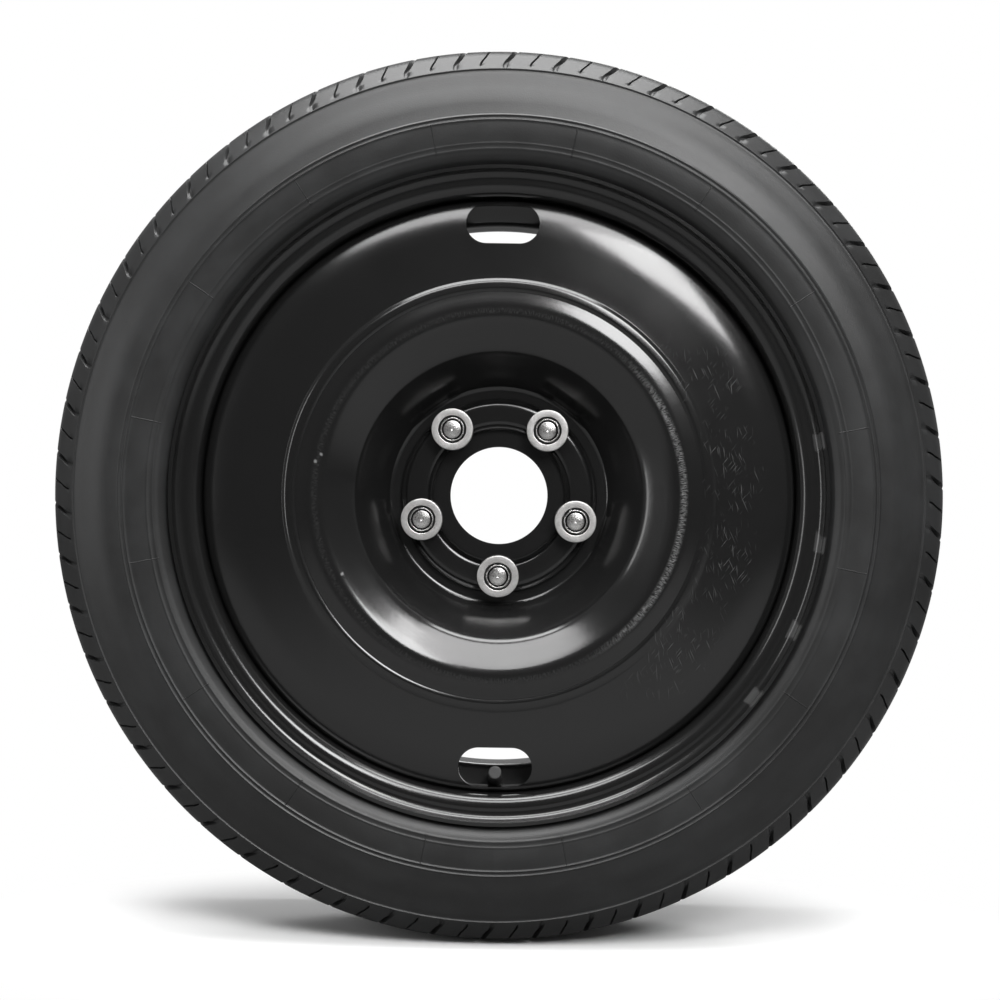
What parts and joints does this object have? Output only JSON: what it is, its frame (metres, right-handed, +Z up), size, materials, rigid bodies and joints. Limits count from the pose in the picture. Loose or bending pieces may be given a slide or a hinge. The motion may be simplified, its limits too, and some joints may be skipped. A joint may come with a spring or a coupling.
{
  "type": "spare tyre",
  "caption": "Compact temporary spare wheel: narrow black tyre on a black pressed-steel wheel with plated lug bolts and a snap-in valve.",
  "frame": {"origin": "centre of the wheel, on its axis and midway between the two sidewalls", "axes": "+Y along the wheel's axis towards the car, so the outer face looks along -Y; +Z up, away from the valve"},
  "size_m": [0.6478, 0.135, 0.6478],
  "materials": {
    "tread_rubber": "matte",
    "wheel_paint": "gloss",
    "plating": "satin",
    "valve_rubber": "matte",
    "valve_brass": "satin",
    "spring_steel": "satin",
    "cap_plastic": "matte"
  },
  "bodies": {
    "wheel": {"tyre": "tread_rubber", "rim": "wheel_paint", "wheel_disc": "wheel_paint", "disc_welds": "wheel_paint", "lug_bolts": "plating", "lug_collars": "plating", "valve_body": "valve_rubber", "valve_stem": "valve_brass", "valve_core": "valve_brass", "valve_spring": "spring_steel"},
    "valve_pin_moving": {"valve_pin": "valve_brass", "valve_seal": "valve_rubber"},
    "valve_cap_off": {"valve_cap": "cap_plastic", "valve_cap_seal": "valve_rubber"}
  },
  "joints": [
    {"name": "valve_pin_press", "type": "slide", "parent": "wheel", "child": "valve_pin_moving", "axis": [0, 0.9397, -0.342], "range_m": [0, 0.0012], "stiffness_N_per_m": 800, "deforming": ["valve_spring"]},
    {"name": "valve_cap_lift", "type": "slide", "parent": "wheel", "child": "valve_cap_off", "axis": [0, -0.9397, 0.342], "range_m": [0, 0.015]}
  ]
}
